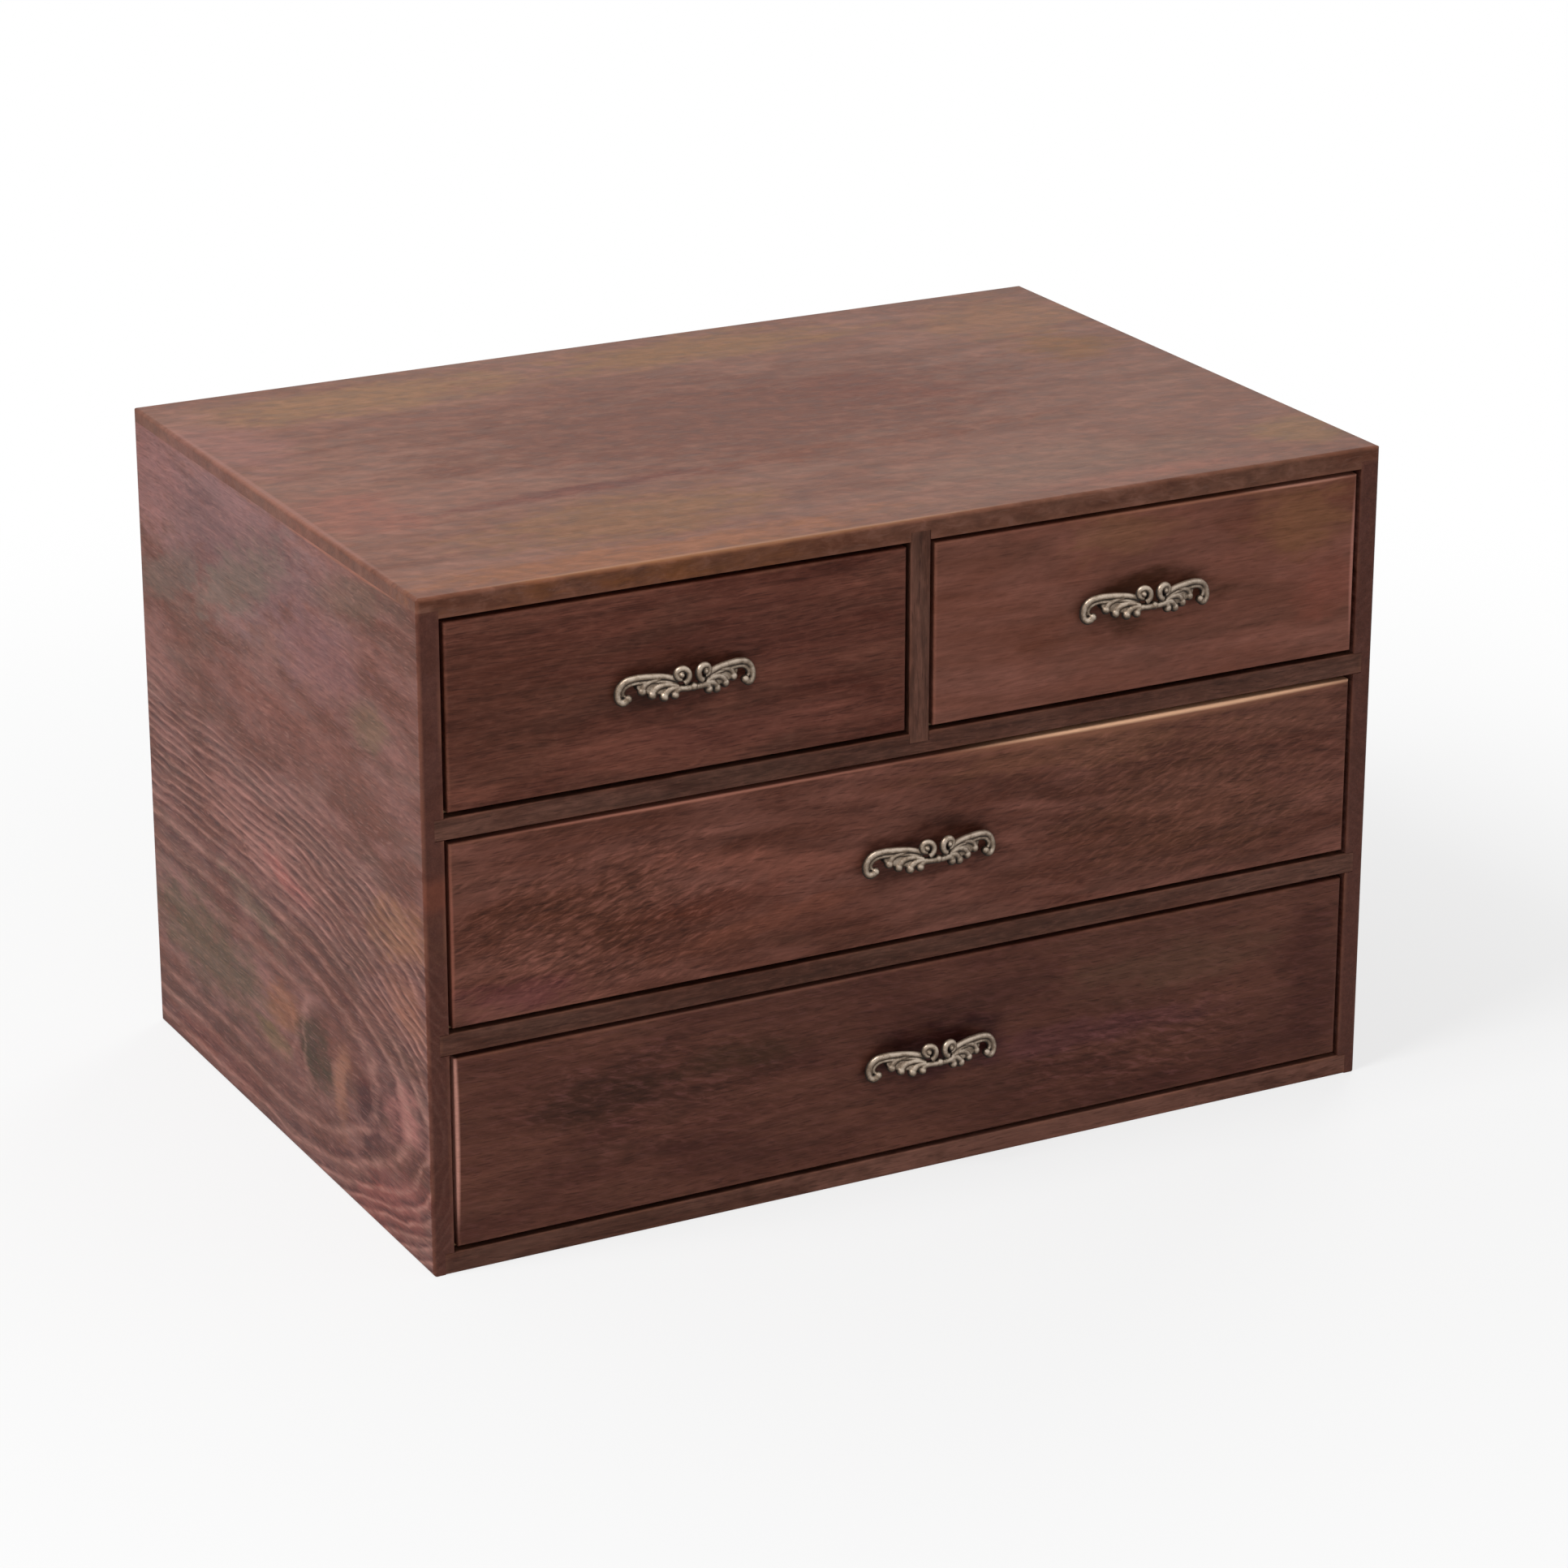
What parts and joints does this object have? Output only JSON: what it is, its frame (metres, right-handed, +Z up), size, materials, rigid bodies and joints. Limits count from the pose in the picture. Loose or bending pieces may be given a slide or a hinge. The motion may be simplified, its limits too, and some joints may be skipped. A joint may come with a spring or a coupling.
{
  "type": "desktop mini drawers",
  "caption": "Small desktop cabinet in dark stained wood with two short drawers over two long ones, each with an ornate cast scroll pull.",
  "frame": {"origin": "centre of the underside of the case, on the surface it stands on", "axes": "+X to the right along the drawer fronts, +Y from the fronts to the back, +Z up"},
  "size_m": [0.34, 0.2387, 0.22],
  "materials": {
    "stained_case": "dark reddish brown stain, satin",
    "stained_top": "reddish brown stain, satin, grain along the width",
    "stained_edge": "dark brown stain, satin",
    "stained_front": "dark reddish brown stain, satin, grain along the width",
    "back_board": "thin brown stain",
    "drawer_box_wood": "planed, unfinished",
    "drawer_bottom_wood": "planed, unfinished",
    "antique_cast_brass": "cast, antiqued dark in the recesses and rubbed on the high spots",
    "steel_nail": "plain wire",
    "steel_screw": "zinc plated"
  },
  "bodies": {
    "cabinet": {"left_side": "stained_case", "right_side": "stained_case", "top_board": "stained_top", "base_board": "stained_case", "lower_shelf": "stained_edge", "upper_shelf": "stained_edge", "centre_divider": "stained_edge", "back_panel": "back_board", "back_nails": "steel_nail"},
    "lower_drawer": {"lower_drawer_front": "stained_front", "lower_drawer_left_wall": "drawer_box_wood", "lower_drawer_right_wall": "drawer_box_wood", "lower_drawer_back": "drawer_box_wood", "lower_drawer_bottom": "drawer_bottom_wood", "lower_drawer_nails": "steel_nail", "lower_drawer_pull": "antique_cast_brass", "lower_drawer_screws": "steel_screw"},
    "middle_drawer": {"middle_drawer_front": "stained_front", "middle_drawer_left_wall": "drawer_box_wood", "middle_drawer_right_wall": "drawer_box_wood", "middle_drawer_back": "drawer_box_wood", "middle_drawer_bottom": "drawer_bottom_wood", "middle_drawer_nails": "steel_nail", "middle_drawer_pull": "antique_cast_brass", "middle_drawer_screws": "steel_screw"},
    "upper_left_drawer": {"upper_left_drawer_front": "stained_front", "upper_left_drawer_left_wall": "drawer_box_wood", "upper_left_drawer_right_wall": "drawer_box_wood", "upper_left_drawer_back": "drawer_box_wood", "upper_left_drawer_bottom": "drawer_bottom_wood", "upper_left_drawer_nails": "steel_nail", "upper_left_drawer_pull": "antique_cast_brass", "upper_left_drawer_screws": "steel_screw"},
    "upper_right_drawer": {"upper_right_drawer_front": "stained_front", "upper_right_drawer_left_wall": "drawer_box_wood", "upper_right_drawer_right_wall": "drawer_box_wood", "upper_right_drawer_back": "drawer_box_wood", "upper_right_drawer_bottom": "drawer_bottom_wood", "upper_right_drawer_nails": "steel_nail", "upper_right_drawer_pull": "antique_cast_brass", "upper_right_drawer_screws": "steel_screw"}
  },
  "joints": [
    {"name": "lower_drawer_slide", "type": "slide", "parent": "cabinet", "child": "lower_drawer", "axis": [0, -1, 0], "range_m": [0, 0.17]},
    {"name": "middle_drawer_slide", "type": "slide", "parent": "cabinet", "child": "middle_drawer", "axis": [0, -1, 0], "range_m": [0, 0.17]},
    {"name": "upper_left_drawer_slide", "type": "slide", "parent": "cabinet", "child": "upper_left_drawer", "axis": [0, -1, 0], "range_m": [0, 0.17]},
    {"name": "upper_right_drawer_slide", "type": "slide", "parent": "cabinet", "child": "upper_right_drawer", "axis": [0, -1, 0], "range_m": [0, 0.17]}
  ]
}
